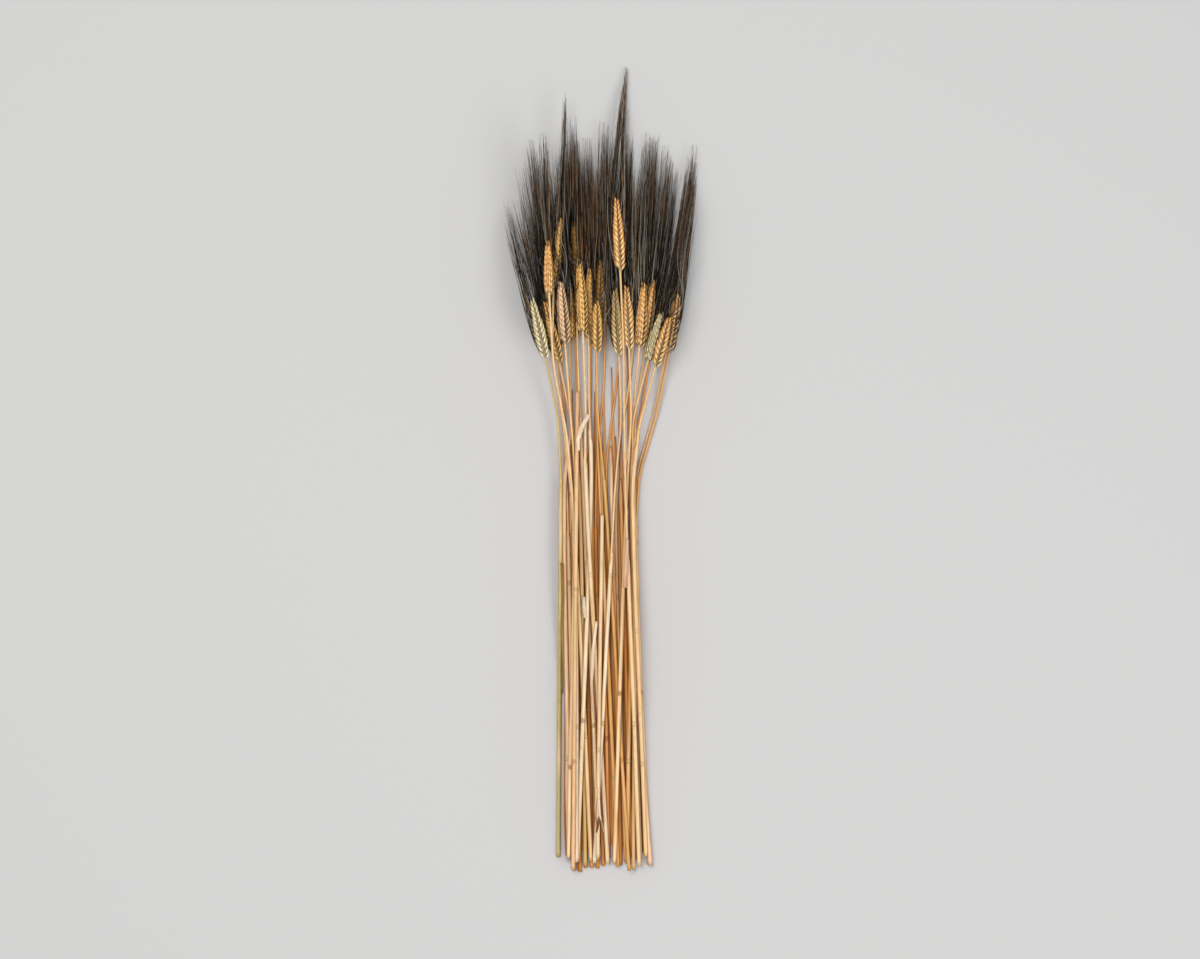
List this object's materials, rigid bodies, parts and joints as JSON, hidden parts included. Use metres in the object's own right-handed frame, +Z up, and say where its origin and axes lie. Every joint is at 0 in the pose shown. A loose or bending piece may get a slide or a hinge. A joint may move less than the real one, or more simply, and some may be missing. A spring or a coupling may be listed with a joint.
{
  "type": "bundle of dried wheat",
  "caption": "Loose, untied bundle of dried bearded wheat lying on its side: straws with knots and sheath mouths, a few of them broken off, and husked ears with long dark awns fanning out at one end.",
  "frame": {"origin": "on the surface that the bundle lies on, under the middle of its outline", "axes": "+Z up, +Y from the cut ends of the straws to the tips of the awns, +X across the bundle"},
  "size_m": [0.1734, 0.7076, 0.0634],
  "materials": {
    "straw": "dry straw, satin along the stem",
    "ear": "papery golden husks",
    "awn": "near-black bristles, tan towards the tips"
  },
  "bodies": {
    "root": {"wheat_stalk_01": "straw", "wheat_stalk_02": "straw", "wheat_stalk_03": "straw", "wheat_stalk_04": "straw", "wheat_stalk_05": "straw", "wheat_stalk_06": "straw", "wheat_stalk_07": "straw", "wheat_stalk_08": "straw", "wheat_stalk_09": "straw", "wheat_stalk_10": "straw", "wheat_stalk_11": "straw", "wheat_stalk_12": "straw", "wheat_stalk_13": "straw", "wheat_stalk_14": "straw", "wheat_stalk_15": "straw", "wheat_stalk_16": "straw", "wheat_stalk_17": "straw", "wheat_stalk_18": "straw", "wheat_stalk_19": "straw", "wheat_stalk_20": "straw", "wheat_stalk_21": "straw", "wheat_stalk_22": "straw", "wheat_stalk_23": "straw", "wheat_stalk_24": "straw", "wheat_stalk_25": "straw", "wheat_stalk_26": "straw", "wheat_stalk_27": "straw", "wheat_stalk_28": "straw", "broken_straw_01": "straw", "broken_straw_02": "straw", "broken_straw_03": "straw", "broken_straw_04": "straw", "broken_straw_05": "straw", "broken_straw_06": "straw", "broken_straw_07": "straw", "broken_straw_08": "straw"}
  },
  "joints": []
}
